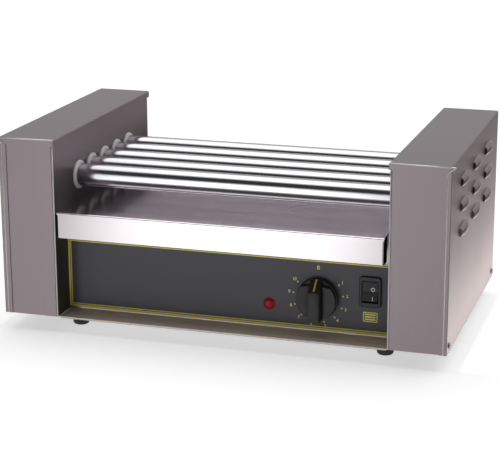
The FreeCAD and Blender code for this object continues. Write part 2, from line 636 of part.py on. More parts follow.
def motor_pieces(z):
    """Gear motor on a plate that stands off the wall on four posts."""
    spots = [(-38.0, z - 34), (38.0, z - 34), (-20.0, z + 34), (20.0, z + 34)]
    plate_y, plate_z, plate_sheet = 45.0, 42.0, 1.5
    screw_hole = 2.2
    spigot = 10.0
    box_half, box_depth = 28.0, 17.0
    can_radius, can_length = 24.5, 19.0
    post_radius = 4.0
    head_radius, head_height, shank_radius, shank_length = 3.6, 2.6, 2.0, 24.0

    plate = block(MOTOR_PLATE_X, MOTOR_PLATE_X + plate_sheet, -plate_y, plate_y, z - plate_z, z + plate_z)
    plate = rounded(plate, 6.0, lambda m, d: along(d, X_AXIS))
    plate = plate.cut(rod((MOTOR_PLATE_X - 1, 0, z), X_AXIS, 4, spigot + 0.2))
    for y, height in spots:
        plate = plate.cut(rod((MOTOR_PLATE_X - 1, y, height), X_AXIS, 4, screw_hole))
    box_x = MOTOR_PLATE_X + plate_sheet
    gearbox = block(box_x, box_x + box_depth, -box_half, box_half, z - box_half, z + box_half)
    gearbox = rounded(gearbox, 6.0, lambda m, d: along(d, X_AXIS))
    gearbox = rounded(gearbox, 1.5, lambda m, d: m.x > box_x + box_depth - 0.1)
    gearbox = gearbox.fuse(rod((box_x - 3, 0, z), X_AXIS, 4, spigot))
    gearbox = gearbox.cut(rod((box_x - 4, 0, z), X_AXIS, 14, MOTOR_SHAFT + RUNNING_FIT)).removeSplitter()
    can_x = box_x + box_depth
    can = rod((can_x, 0, z), X_AXIS, can_length, can_radius)
    can = rounded(can, 2.0, lambda m, d: m.x > can_x + can_length - 0.1)
    shaft_x = CHAIN_X - 3
    shaft = rod((shaft_x, 0, z), X_AXIS, box_x + 9 - shaft_x, MOTOR_SHAFT)
    shaft = rounded(shaft, 0.6, lambda m, d: m.x < shaft_x + 0.1)
    posts = [tube((WALL_BACK, y, height), X_AXIS, MOTOR_PLATE_X - WALL_BACK, post_radius, screw_hole)
             for y, height in spots]
    bolts = [screw((box_x, y, height), X_AXIS * -1, head_radius, head_height, shank_radius, shank_length)
             for y, height in spots]
    save("motor_plate", plate)
    save("motor_gearbox", gearbox)
    save("motor_can", can)
    save("motor_shaft", shaft)
    save("motor_posts", *posts)
    save("motor_screws", *bolts)


# ---- heating elements -------------------------------------------------------------------------
BRACKET_X = -229.0


def element_section():
    """Sheathed rods in ceramic holders on one bracket, each steadied by a disc near its tip."""
    leg, foot_length, half = 110.0, 15.0, 13.0
    sheath_radius, sheath_tail, tip_x = 4.0, 12.0, 190.0
    sheath_fit = sheath_radius + 0.05
    pin_tail, pin_radius = 20.0, 1.6
    holder_length, flange_radius, neck_radius = 8.0, 9.0, 6.0
    disc_x, disc_width, disc_radius = 176.0, 8.0, 12.0
    wall = -WALL_BACK - 0.05
    outside = BRACKET_X - SHEET
    points = [(wall, -leg - foot_length), (wall, -leg), (BRACKET_X, -leg),
              (BRACKET_X, leg), (wall, leg), (wall, leg + foot_length)]
    bracket = folded(points, "xy", ROLLER_Z - half, ROLLER_Z + half)
    rods, holders, discs = [], [], []
    for y in ROLLER_Y:
        bracket = bracket.cut(rod((BRACKET_X - 3, y, ROLLER_Z), X_AXIS, 6, neck_radius + 0.1))
        sheath = rod((BRACKET_X - sheath_tail, y, ROLLER_Z), X_AXIS, tip_x - BRACKET_X + sheath_tail,
                     sheath_radius)
        tip = Part.makeSphere(sheath_radius, Vector(tip_x, y, ROLLER_Z))
        pin = rod((BRACKET_X - pin_tail, y, ROLLER_Z), X_AXIS, 9, pin_radius)
        rods.append(sheath.fuse(tip).fuse(pin).removeSplitter())
        holder = rod((outside - holder_length, y, ROLLER_Z), X_AXIS, holder_length, flange_radius)
        holder = holder.fuse(rod((outside - 1, y, ROLLER_Z), X_AXIS, holder_length, neck_radius))
        bore = rod((BRACKET_X - pin_tail, y, ROLLER_Z), X_AXIS, 2 * pin_tail, sheath_fit)
        holders.append(holder.cut(bore).removeSplitter())
        discs.append(tube((disc_x, y, ROLLER_Z), X_AXIS, disc_width, disc_radius, sheath_fit))
    save("element_bracket", bracket)
    save("heating_elements", *rods)
    save("element_holders", *holders)
    save("element_centring_discs", *discs)


# ---- controls ---------------------------------------------------------------------------------
KNOB_GAP = 3.0
CONTROL_SHAFT = 3.0


def knob():
    """Skirt, domed body and a grip bar across it, on a shaft through the panel."""
    back = PANEL_Y - KNOB_GAP
    skirt_height, bar_height, bar_half, bar_top = 7.0, 21.0, 7.0, 14.0
    hollow_depth, wall, boss_radius, bore_depth = 5.0, 2.5, 6.5, 15.0
    skirt = rod((DIAL_X, back, DIAL_Z), Y_AXIS * -1, skirt_height, KNOB_RADIUS)
    skirt = rounded(skirt, 1.8, lambda m, d: m.y < back - skirt_height + 0.1)
    bar = block(DIAL_X - bar_half, DIAL_X + bar_half, back - bar_height, back - hollow_depth,
                DIAL_Z - KNOB_RADIUS + 0.4, DIAL_Z + bar_top)
    bar = rounded(bar, 1.4, lambda m, d: m.y < back - bar_height + 0.1 or along(d, Y_AXIS))
    grip = skirt.fuse(bar).removeSplitter()
    hollow = rod((DIAL_X, back + 1, DIAL_Z), Y_AXIS * -1, hollow_depth, KNOB_RADIUS - wall)
    boss = rod((DIAL_X, back, DIAL_Z), Y_AXIS * -1, hollow_depth, boss_radius)
    bore = rod((DIAL_X, back + 1, DIAL_Z), Y_AXIS * -1, bore_depth, CONTROL_SHAFT + RUNNING_FIT)
    return grip.cut(hollow).fuse(boss).cut(bore).removeSplitter()


ROCKER_DEPTH = 3.0
ROCKER_OFF = -9.0
ROCKER_PIN = 1.2


def rocker():
    """Rocker with two faces that meet at a shallow angle; off, its upper half is pressed in."""
    pivot = Vector(0, PANEL_Y + ROCKER_DEPTH, SWITCH_Z)
    half_width, reach = 9.6, 11.6
    outline = [(-7.6, reach), (-5.2, 0.0), (-7.6, -reach),
               (1.0, -reach), (4.0, -3.0), (4.0, 3.0), (1.0, reach)]
    corners = [Vector(SWITCH_X - half_width, pivot.y + y, pivot.z + z) for y, z in outline + outline[:1]]
    body = Part.Face(Part.makePolygon(corners)).extrude(X_AXIS * (2 * half_width))
    body = rounded(body, 0.7, lambda m, d: m.y < pivot.y - 5.0 and abs(m.z - pivot.z) > 0.5
                   and (along(d, X_AXIS) or abs(abs(m.x - SWITCH_X) - half_width) < 0.01))
    pin_end = 0.9
    pin = rod((SWITCH_X - half_width - pin_end, pivot.y, pivot.z), X_AXIS,
              2 * (half_width + pin_end), ROCKER_PIN)
    body = body.fuse(pin)
    body.rotate(pivot, X_AXIS, ROCKER_OFF)
    return body


def switch_housing():
    """Bezel, moulded body with a well for the rocker, and four blade terminals."""
    half = (13.2, 18.4)
    front = PANEL_Y - 3.3
    bezel = block(SWITCH_X - half[0], SWITCH_X + half[0], front, PANEL_Y - OVERLAY,
                  SWITCH_Z - half[1], SWITCH_Z + half[1])
    bezel = rounded(bezel, 4.0, lambda m, d: along(d, Y_AXIS))
    bezel = rounded(bezel, 1.0, lambda m, d: m.y < front + 0.1)
    body = block(SWITCH_X - SWITCH_CUT[0] + 0.2, SWITCH_X + SWITCH_CUT[0] - 0.2, PANEL_Y - 1, PANEL_Y + 24,
                 SWITCH_Z - SWITCH_CUT[1] + 0.2, SWITCH_Z + SWITCH_CUT[1] - 0.2)
    well_x, well_z, pin_reach = 9.9, 13.3, 10.6
    well = block(SWITCH_X - well_x, SWITCH_X + well_x, PANEL_Y - 5, PANEL_Y + 10,
                 SWITCH_Z - well_z, SWITCH_Z + well_z)
    pin = rod((SWITCH_X - pin_reach, PANEL_Y + ROCKER_DEPTH, SWITCH_Z), X_AXIS, 2 * pin_reach,
              ROCKER_PIN + RUNNING_FIT)
    housing = bezel.fuse(body).cut(well).cut(pin)
    for x in (-5.0, 5.0):
        for z in (-9.0, 9.0):
            blade = block(SWITCH_X + x - 0.4, SWITCH_X + x + 0.4, PANEL_Y + 23, PANEL_Y + 33,
                          SWITCH_Z + z - 3.1, SWITCH_Z + z + 3.1)
            housing = housing.fuse(blade)
    return housing.removeSplitter()


def control_section():
    """Thermostat with its screws, shaft and knob, rocker switch, and pilot lamp."""
    case_half, case_depth = 20.0, 31.0
    shaft_back, shaft_front = 8.0, KNOB_GAP + 13.5
    screw_bore, head_radius, head_height, shank_radius, shank_length = 1.6, 3.0, 1.8, 1.5, 8.0
    lens_radius, lens_height = 7.2, 3.4
    lamp_radius, lamp_nut, lamp_depth = 5.1, 8.0, 22.0

    shaft = rod((DIAL_X, PANEL_Y + shaft_back, DIAL_Z), Y_AXIS * -1,
                shaft_back + shaft_front, CONTROL_SHAFT)
    body = block(DIAL_X - case_half, DIAL_X + case_half, PANEL_Y + SHEET, PANEL_Y + case_depth,
                 DIAL_Z - case_half, DIAL_Z + case_half)
    body = rounded(body, 3.0, lambda m, d: along(d, Y_AXIS))
    body = body.cut(rod((DIAL_X, PANEL_Y, DIAL_Z), Y_AXIS, 12, CONTROL_SHAFT + RUNNING_FIT))
    for x in (-THERMOSTAT_SCREW, THERMOSTAT_SCREW):
        body = body.cut(rod((DIAL_X + x, PANEL_Y, DIAL_Z), Y_AXIS, 10, screw_bore))
    mount = [screw((DIAL_X + x, PANEL_Y - OVERLAY, DIAL_Z), Y_AXIS, head_radius, head_height,
                   shank_radius, shank_length) for x in (-THERMOSTAT_SCREW, THERMOSTAT_SCREW)]
    save("thermostat_body", body)
    save("thermostat_screws", *mount)
    save("thermostat_shaft", shaft)
    save("thermostat_knob", knob())
    save("power_switch_housing", switch_housing())
    save("power_switch_rocker", rocker())
    lens = rod((LAMP_X, PANEL_Y - OVERLAY, LAMP_Z), Y_AXIS * -1, lens_height, lens_radius)
    lens = rounded(lens, 1.6, lambda m, d: m.y < PANEL_Y - OVERLAY - lens_height + 0.1)
    holder = rod((LAMP_X, PANEL_Y - OVERLAY, LAMP_Z), Y_AXIS, lamp_depth, lamp_radius)
    holder = holder.fuse(rod((LAMP_X, PANEL_Y + SHEET, LAMP_Z), Y_AXIS, 3, lamp_nut)).removeSplitter()
    save("pilot_lamp_lens", lens)
    save("pilot_lamp_body", holder)


# ---- mains entry ------------------------------------------------------------------------------
def hexagon(x, y, z, radius, length):
    corners = [Vector(x + radius * math.cos(math.radians(a)), y, z + radius * math.sin(math.radians(a)))
               for a in range(0, 361, 60)]
    return Part.Face(Part.makePolygon(corners)).extrude(Y_AXIS * length)


def mains_section():
    cord_radius = 4.2
    bore = rod((GLAND_X, REAR_Y - 30, GLAND_Z), Y_AXIS, 60, cord_radius)
    gland = hexagon(GLAND_X, REAR_Y, GLAND_Z, 12.0, 5.0)
    gland = gland.fuse(rod((GLAND_X, REAR_Y - 10, GLAND_Z), Y_AXIS, 12, 8.0))
    dome = rod((GLAND_X, REAR_Y + 5, GLAND_Z), Y_AXIS, 12, 10.0)
    dome = rounded(dome, 3.0, lambda m, d: m.y > REAR_Y + 16.9)
    gland = gland.fuse(dome).cut(bore).removeSplitter()
    nut = hexagon(GLAND_X, REAR_Y - SHEET - 5.0, GLAND_Z, 13.0, 5.0)
    nut = nut.cut(rod((GLAND_X, REAR_Y - 20, GLAND_Z), Y_AXIS, 30, 8.0 + RUNNING_FIT))
    block_x, block_y = GLAND_X + 50, 105.0
    ways, pitch, wire_radius, screw_radius = 5, 12.0, 2.2, 2.4
    terminals = block(block_x - 30, block_x + 30, block_y - 10, block_y + 10, BASE_TOP, BASE_TOP + 16)
    terminals = rounded(terminals, 1.5, lambda m, d: m.z > BASE_TOP + 15.9)
    for k in range(ways):
        x = block_x + pitch * (k - (ways - 1) / 2)
        terminals = terminals.cut(rod((x, block_y - 20, BASE_TOP + 6), Y_AXIS, 40, wire_radius))
        terminals = terminals.cut(rod((x, block_y, BASE_TOP + 8), Z_AXIS, 20, screw_radius))
    save("cable_gland", gland)
    save("cable_gland_nut", nut)
    save("terminal_block", terminals)


base_section()
panel_section()
tower_section()
drive_section()
element_section()
control_section()
mains_section()
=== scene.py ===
import json
import math

import bmesh
import bpy
from mathutils import Matrix, Vector


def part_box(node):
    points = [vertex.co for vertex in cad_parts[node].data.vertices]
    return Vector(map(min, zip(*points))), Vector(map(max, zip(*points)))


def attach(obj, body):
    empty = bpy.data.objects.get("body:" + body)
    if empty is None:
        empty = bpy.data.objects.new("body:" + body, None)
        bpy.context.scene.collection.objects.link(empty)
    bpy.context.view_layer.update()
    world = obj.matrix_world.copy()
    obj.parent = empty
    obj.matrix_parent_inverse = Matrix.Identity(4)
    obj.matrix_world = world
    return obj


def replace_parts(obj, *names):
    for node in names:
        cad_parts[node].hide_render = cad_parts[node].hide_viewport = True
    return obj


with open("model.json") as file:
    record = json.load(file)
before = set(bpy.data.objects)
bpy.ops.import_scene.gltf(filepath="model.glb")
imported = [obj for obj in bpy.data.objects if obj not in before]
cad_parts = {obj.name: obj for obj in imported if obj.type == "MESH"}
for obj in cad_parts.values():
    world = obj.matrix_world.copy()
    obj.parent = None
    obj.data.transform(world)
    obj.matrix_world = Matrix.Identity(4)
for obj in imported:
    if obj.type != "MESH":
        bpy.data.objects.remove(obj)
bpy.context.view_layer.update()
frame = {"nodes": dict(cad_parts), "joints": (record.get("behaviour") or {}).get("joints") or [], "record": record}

NODES = frame["nodes"]
JOINTS = {joint["name"]: joint for joint in frame["joints"]}


# ---- node helpers -----------------------------------------------------------------------------
def new_material(name):
    material = bpy.data.materials.new(name)
    material.use_nodes = True
    tree = material.node_tree
    return material, tree, tree.nodes["Principled BSDF"]


def add(tree, kind, **values):
    """New node; plain values set its properties or, when the name is a socket's, that socket."""
    node = tree.nodes.new(kind)
    for key, value in values.items():
        if hasattr(node, key):
            setattr(node, key, value)
        else:
            node.inputs[key.replace("_", " ")].default_value = value
    return node


def link(tree, source, target):
    tree.links.new(source, target)


def maths(tree, operation, first, second=None):
    node = add(tree, "ShaderNodeMath", operation=operation)
    for socket, value in zip(node.inputs, (first, second)):
        if value is None:
            continue
        if isinstance(value, (int, float)):
            socket.default_value = value
        else:
            link(tree, value, socket)
    return node.outputs[0]


def vector_maths(tree, operation, first, second):
    node = add(tree, "ShaderNodeVectorMath", operation=operation)
    sockets = (node.inputs[0], node.inputs["Scale"] if operation == "SCALE" else node.inputs[1])
    for socket, value in zip(sockets, (first, second)):
        if isinstance(value, tuple):
            socket.default_value = value
        else:
            link(tree, value, socket)
    return node.outputs["Vector"]


def split(tree, vector):
    """The X, Y and Z outputs of a vector."""
    node = add(tree, "ShaderNodeSeparateXYZ")
    link(tree, vector, node.inputs[0])
    return node.outputs


def pick(tree, factor, first, second):
    """The first constant vector where factor is 0, the second where it is 1."""
    node = add(tree, "ShaderNodeMix", data_type="VECTOR")
    node.inputs["A"].default_value = first
    node.inputs["B"].default_value = second
    link(tree, factor, node.inputs["Factor"])
    return node.outputs["Result"]


def position(tree):
    return add(tree, "ShaderNodeTexCoord").outputs["Object"]


def noise(tree, vector, scale, detail=2.0, roughness=0.5):
    node = add(tree, "ShaderNodeTexNoise", Scale=scale, Detail=detail, Roughness=roughness)
    link(tree, vector, node.inputs["Vector"])
    return node.outputs["Fac"]


def spread(tree, value, low, high):
    """Map 0..1 to low..high."""
    node = add(tree, "ShaderNodeMapRange")
    node.inputs["To Min"].default_value = low
    node.inputs["To Max"].default_value = high
    link(tree, value, node.inputs["Value"])
    return node.outputs["Result"]


def fade(tree, value, low, high):
    """0 below low, 1 above high, smooth between."""
    node = add(tree, "ShaderNodeMapRange", interpolation_type="SMOOTHSTEP")
    node.inputs["From Min"].default_value = low
    node.inputs["From Max"].default_value = high
    link(tree, value, node.inputs["Value"])
    return node.outputs["Result"]


def shade(tree, color, factor):
    """A colour times a grey factor."""
    return vector_maths(tree, "SCALE", color, factor)


def bump(tree, height, distance, shader, strength):
    node = add(tree, "ShaderNodeBump", Strength=strength, Distance=distance)
    link(tree, height, node.inputs["Height"])
    link(tree, node.outputs["Normal"], shader.inputs["Normal"])


# ---- metals -----------------------------------------------------------------------------------
X_AXIS, Z_AXIS = (1.0, 0.0, 0.0), (0.0, 0.0, 1.0)
FACING = 0.7                         # least share of a normal for a face to look along an axis
GRAINS = ((6.0, 1500.0), (2.0, 260.0))      # fine and coarse: noise cells per metre along and across
PATCHES = 9.0                        # cells per metre of the uneven wear
SCRATCH_DEPTH = 0.00002

WALL_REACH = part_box("right_tower_frame")[0][0] + 0.0009     # |x| that takes in the walls' inner faces
WALL_DULL = 0.24                     # extra roughness there
PAINTED_SHADE_LOW, PAINTED_SHADE_HIGH = 0.165, 0.228   # heights between which the painted shade low on the walls fades out
# tone of the painted shade at the walls' foot
PAINTED_SHADE_TONE = 0.34


def facing(tree, share):
    """1 on faces that look along this component's axis, either way, and 0 elsewhere."""
    return maths(tree, "GREATER_THAN", maths(tree, "ABSOLUTE", share), FACING)


def brushed_steel(name, color, rough, stretch, grain_along_x, mottle=0.05, painted_top_light=1.0, top_rough=0.0):
    """Brushed sheet.  The grain runs along X, or up the towers and across their tops.

    Where the grain runs along X, faces that look up take extra roughness and a painted light: a lighter tone of
    their own.
    On the towers, the walls that face the rollers are dulled and, low down, darkened by painted shade.
    """
    material, tree, shader = new_material(name)
    shader.inputs["Metallic"].default_value = 1.0
    shader.inputs["Anisotropic"].default_value = stretch
    place = position(tree)
    normal = add(tree, "ShaderNodeNewGeometry").outputs["Normal"]
    lean = split(tree, normal)
    if grain_along_x:
        grids = [(along, across, across) for along, across in GRAINS]
        tangent = vector_maths(tree, "CROSS_PRODUCT", X_AXIS, normal)
    else:
        front = facing(tree, lean["Y"])
        grids = [pick(tree, front, (along, across, along), (across, along, along))
                 for along, across in GRAINS]
        grain_way = pick(tree, facing(tree, lean["Z"]), Z_AXIS, X_AXIS)
        tangent = vector_maths(tree, "CROSS_PRODUCT", grain_way, normal)
    link(tree, tangent, shader.inputs["Tangent"])
    fine, coarse = (vector_maths(tree, "MULTIPLY", place, grid) for grid in grids)
    streaks = noise(tree, fine, 1.0, 3.0, 0.6)
    bands = noise(tree, coarse, 1.0)
    patches = noise(tree, place, PATCHES, 3.0)
    tone = maths(tree, "ADD", spread(tree, streaks, 1.0 - mottle, 1.0 + mottle),
                 spread(tree, bands, -mottle * 0.6, mottle * 0.6))
    tone = maths(tree, "ADD", tone, spread(tree, patches, -mottle * 0.5, mottle * 0.5))
    gloss = maths(tree, "ADD", spread(tree, streaks, rough - 0.03, rough + 0.03),
                  spread(tree, patches, -0.02, 0.02))
    if grain_along_x:
        # painted light: faces that look up take a lighter tone
        top = maths(tree, "GREATER_THAN", lean["Z"], FACING)
        tone = maths(tree, "MULTIPLY", tone, spread(tree, top, 1.0, painted_top_light))
        gloss = maths(tree, "ADD", gloss, spread(tree, top, 0.0, top_rough))
    else:
        spot = split(tree, place)
        near = maths(tree, "LESS_THAN", maths(tree, "ABSOLUTE", spot["X"]), WALL_REACH)
        inner_wall = maths(tree, "MULTIPLY", near, facing(tree, lean["X"]))
        # painted shade: darker low down on the walls that face the rollers
        low_down = maths(tree, "SUBTRACT", 1.0, fade(tree, spot["Z"], PAINTED_SHADE_LOW, PAINTED_SHADE_HIGH))
        painted_shade = maths(tree, "MULTIPLY", inner_wall, low_down)
        tone = maths(tree, "MULTIPLY", tone, spread(tree, painted_shade, 1.0, PAINTED_SHADE_TONE))
        gloss = maths(tree, "ADD", gloss, spread(tree, inner_wall, 0.0, WALL_DULL))
    link(tree, shade(tree, color, tone), shader.inputs["Base Color"])
    link(tree, gloss, shader.inputs["Roughness"])
    bump(tree, streaks, SCRATCH_DEPTH, shader, 0.2)
    return material


def plain_metal(name, color, rough):
    """Turned, zinc-plated or cast metal: fine specks and soft patches."""
    material, tree, shader = new_material(name)
    shader.inputs["Metallic"].default_value = 1.0
    place = position(tree)
    specks = noise(tree, place, 400.0, 3.0)
    patches = noise(tree, place, 25.0)
    link(tree, shade(tree, color, spread(tree, patches, 0.92, 1.08)), shader.inputs["Base Color"])
    link(tree, spread(tree, specks, rough - 0.06, rough + 0.08), shader.inputs["Roughness"])
    bump(tree, specks, SCRATCH_DEPTH, shader, 0.3)
    return material


def chrome(name):
    """Polished plate with faint turning marks round the roller and a trace of baked fat."""
    material, tree, shader = new_material(name)
    shader.inputs["Metallic"].default_value = 1.0
    place = position(tree)
    ring_grid, film_grid = (900.0, 20.0, 20.0), (12.0, 60.0, 60.0)
    color = (0.64, 0.63, 0.655)
    rings = noise(tree, vector_maths(tree, "MULTIPLY", place, ring_grid), 1.0)
    film = noise(tree, vector_maths(tree, "MULTIPLY", place, film_grid), 1.0, 3.0)
    link(tree, shade(tree, color, spread(tree, film, 0.90, 1.04)), shader.inputs["Base Color"])
    gloss = maths(tree, "ADD", spread(tree, rings, 0.10, 0.16), spread(tree, film, 0.0, 0.04))
    link(tree, gloss, shader.inputs["Roughness"])
    bump(tree, rings, 0.000004, shader, 0.2)
    return material


# ---- plastics, rubber, print -------------------------------------------------------------------
def plastic(name, color, rough, grain=2500.0, depth=0.00003, mottle=0.1):
    """Moulded plastic: fine spark-eroded texture, small changes of tone and gloss."""
    material, tree, shader = new_material(name)
    place = position(tree)
    pits = noise(tree, place, grain)
    patches = noise(tree, place, 60.0, 3.0)
    tone = spread(tree, patches, 1 - mottle, 1 + mottle)
    link(tree, shade(tree, color, tone), shader.inputs["Base Color"])
    gloss = maths(tree, "ADD", spread(tree, pits, rough - 0.05, rough + 0.05),
                  spread(tree, patches, -0.04, 0.04))
    link(tree, gloss, shader.inputs["Roughness"])
    bump(tree, pits, depth, shader, 0.4)
    return material


def red_lens(name):
    """Red plastic with a cell pattern moulded into it."""
    material, tree, shader = new_material(name)
    color = (0.33, 0.001, 0.010)
    cells = add(tree, "ShaderNodeTexVoronoi", Scale=700.0)
    link(tree, position(tree), cells.inputs["Vector"])
    depth = cells.outputs["Distance"]
    link(tree, shade(tree, color, spread(tree, depth, 0.55, 1.5)), shader.inputs["Base Color"])
    shader.inputs["Specular IOR Level"].default_value = 0.25
    shader.inputs["Coat Weight"].default_value = 0.15
    shader.inputs["Coat Roughness"].default_value = 0.08
    link(tree, spread(tree, depth, 0.22, 0.40), shader.inputs["Roughness"])
    bump(tree, depth, 0.0004, shader, 0.5)
    return material


MATERIALS = {
    "tower_steel": brushed_steel("tower_steel_look", (0.300, 0.257, 0.271), 0.29, 0.6, False, 0.03),
    # panel and tray steel: their up-facing faces are lifted by a painted light
    "panel_steel": brushed_steel("panel_steel_look", (0.58, 0.51, 0.465), 0.36, 0.4, True, 0.05, 1.6, 0.26),
    "tray_steel": brushed_steel("tray_steel_look", (0.62, 0.58, 0.60), 0.19, 0.8, True, 0.02, 1.5, -0.05),
    "inner_steel": brushed_steel("inner_steel_look", (0.45, 0.44, 0.44), 0.40, 0.5, True),
    "roller_chrome": chrome("roller_chrome_look"),
    "bush_plastic": plastic("bush_plastic_look", (0.58, 0.56, 0.55), 0.42),
    "overlay_print": plastic("overlay_print_look", (0.064, 0.063, 0.078), 0.42, 1800.0, 0.00001, 0.05),
    "knob_plastic": plastic("knob_plastic_look", (0.022, 0.020, 0.020), 0.42),
    "switch_plastic": plastic("switch_plastic_look", (0.008, 0.0075, 0.008), 0.34),
    "lamp_red": red_lens("lamp_red_look"),
    "foot_rubber": plastic("foot_rubber_look", (0.028, 0.027, 0.026), 0.62, 900.0, 0.0001),
    "screw_steel": plain_metal("screw_steel_look", (0.30, 0.28, 0.27), 0.32),
    "chain_steel": plain_metal("chain_steel_look", (0.16, 0.15, 0.14), 0.38),
    "sprocket_steel": plain_metal("sprocket_steel_look", (0.36, 0.35, 0.34), 0.34),
    "motor_paint": plastic("motor_paint_look", (0.03, 0.03, 0.033), 0.35, 700.0, 0.0001),
    "gearbox_zinc": plain_metal("gearbox_zinc_look", (0.50, 0.50, 0.51), 0.45),
    "element_sheath": plain_metal("element_sheath_look", (0.30, 0.25, 0.22), 0.4),
    "ceramic": plastic("ceramic_look", (0.75, 0.72, 0.66), 0.3),
    "control_plastic": plastic("control_plastic_look", (0.62, 0.59, 0.51), 0.45),
    "gland_plastic": plastic("gland_plastic_look", (0.02, 0.02, 0.021), 0.5),
    # near-white metal for the edge beads: a painted highlight
    "bright_edge": plain_metal("painted_edge_highlight_look", (0.97, 0.94, 0.96), 0.50),
    "yellow_print": plastic("yellow_print_look", (0.82, 0.72, 0.13), 0.40, 3000.0, 0.00001, 0.12),
    "white_print": plastic("white_print_look", (0.75, 0.75, 0.74), 0.40, 3000.0, 0.00001, 0.06),
}


def dress_cad_nodes():
    for part in frame["record"]["subparts"]:
        node = NODES[part["node"]]
        look = MATERIALS[part["material_slot"]]
        for slot in node.material_slots:
            slot.material = look


dress_cad_nodes()


# ---- printed and moulded details ----------------------------------------------------------------
def new_piece(name, shape, body, look, smooth_angle=None):
    """Turn a bmesh into a named piece that rides on a body and takes a record slot's finish."""
    mesh = bpy.data.meshes.new(name)
    bmesh.ops.recalc_face_normals(shape, faces=shape.faces)
    shape.to_mesh(mesh)
    shape.free()
    mesh.materials.append(look)
    piece = bpy.data.objects.new(name, mesh)
    bpy.context.collection.objects.link(piece)
    if smooth_angle is not None:
        mesh.polygons.foreach_set("use_smooth", [True] * len(mesh.polygons))
        mesh.set_sharp_from_angle(angle=math.radians(smooth_angle))
    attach(piece, body)
    return piece


def add_skin(shape, rings):
    """Join neighbouring rings of equally many points with quads."""
    for first, second in zip(rings, rings[1:]):
        for k in range(len(first)):
            after = (k + 1) % len(first)
            shape.faces.new((first[k], first[after], second[after], second[k]))


def add_prism(shape, outline, place, low, high):
    """Add a closed prism: place(a, b, c) turns outline points (a, b) and a height c into a position."""
    rings = [[shape.verts.new(place(a, b, level)) for a, b in outline] for level in (low, high)]
    shape.faces.new(rings[0])
    top = shape.faces.new(rings[1])
    add_skin(shape, rings)
    return top


def add_band(shape, outer, inner, place):
    """Add print as thick as the ink between two outlines of equally many points."""
    rings = [[shape.verts.new(place(a, b, level)) for a, b in points]
             for points, level in ((outer, 0.0), (outer, INK), (inner, INK), (inner, 0.0))]
    add_skin(shape, rings + rings[:1])


def bevel(shape, edges, width):
    bmesh.ops.bevel(shape, geom=edges, offset=width, segments=3, profile=0.5, affect="EDGES")


def circle(radius, count, start=0.0, end=360.0, centre=(0.0, 0.0)):
    angles = [math.radians(start + (end - start) * k / count) for k in range(count)]
    return [(centre[0] + radius * math.cos(a), centre[1] + radius * math.sin(a)) for a in angles]


def add_lathe(shape, centre, profile, count=96):
    """Turn a profile of (radius, height) about a line through centre that points out of the panel."""
    rings = []
    for radius, height in profile:
        y = centre[1] - height
        if radius == 0:
            rings.append([shape.verts.new((centre[0], y, centre[2]))])
        else:
            rings.append([shape.verts.new((centre[0] + a, y, centre[2] + b))
                          for a, b in circle(radius, count)])
    for first, second in zip(rings, rings[1:]):
        for k in range(count):
            after = (k + 1) % count
            corners = [first[k % len(first)], first[after % len(first)],
                       second[after % len(second)], second[k % len(second)]]
            shape.faces.new(list(dict.fromkeys(corners)))


def add_rod(shape, start, end, radius):
    """Round bead with domed ends along a straight edge."""
    count, dome, tip = 10, 0.6, 0.4      # facets; the dome's length and its end's size, in radii
    start, end = Vector(start), Vector(end)
    along = (end - start).normalized()
    side = along.orthogonal().normalized()
    other = along.cross(side)
    rings = []
    for spot, size in ((start - along * radius * dome, tip), (start, 1.0),
                       (end, 1.0), (end + along * radius * dome, tip)):
        rings.append([shape.verts.new(spot + radius * size * (math.cos(a) * side + math.sin(a) * other))
                      for a in (2 * math.pi * k / count for k in range(count))])
    add_skin(shape, rings)
    shape.faces.new(rings[0])
    shape.faces.new(rings[-1])


EDGE_RADIUS = 0.0008
COVER_FLANGE, COVER_LIP = 0.0095, 0.0080      # the cover's front return, and its lip over the frame's top
FOLD = 0.0011                        # from the sheet's outer faces to the corner's middle


def folded_edges():
    """Beads of near-white metal along the tower sheets' edges, rounded like the real edges but painted brighter
    than the sheet as a painted highlight: top fold, corner mitre, lip edge and inner fold.
    """
    shape = bmesh.new()
    for side, cover, inner in ((-1, "left_tower_cover", "left_tower_frame"),
                               (1, "right_tower_cover", "right_tower_frame")):
        low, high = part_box(cover)
        frame_low, frame_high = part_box(inner)
        outer_x = side * max(abs(low[0]), abs(high[0]))
        inner_x = side * min(abs(low[0]), abs(high[0]))
        wall_x = side * (min(abs(frame_low[0]), abs(frame_high[0])) + 0.0004)
        flange_x = outer_x - side * COVER_FLANGE
        front, top, bottom = low[1] + 0.0002, high[2], low[2] + 0.0005
        wall_front, lip_foot = frame_low[1] + 0.0004, top - COVER_LIP
        corner = (outer_x - side * FOLD, front + 0.0004, top - FOLD)
        add_rod(shape, (inner_x + side * 0.0008, front + 0.0003, top - 0.0004), corner, EDGE_RADIUS)
        add_rod(shape, corner, (flange_x, front, lip_foot), EDGE_RADIUS * 0.9)
        add_rod(shape, (flange_x, front, lip_foot), (flange_x, front, bottom), EDGE_RADIUS * 0.9)
        add_rod(shape, (wall_x, wall_front, lip_foot), (wall_x, wall_front, bottom), EDGE_RADIUS)
    new_piece("tower_edge_highlights", shape, "chassis", MATERIALS["bright_edge"], 50)


OVERLAY_LOW, OVERLAY_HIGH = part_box("panel_overlay")
FILM_FACE = OVERLAY_LOW[1]
INK = 0.00006                        # thickness of the screen print
BORDER = ((0.0002, 0.0020), (0.0031, 0.0012))      # inset and width of the two border lines


def on_film(a, b, height):
    return (a, FILM_FACE - height, b)


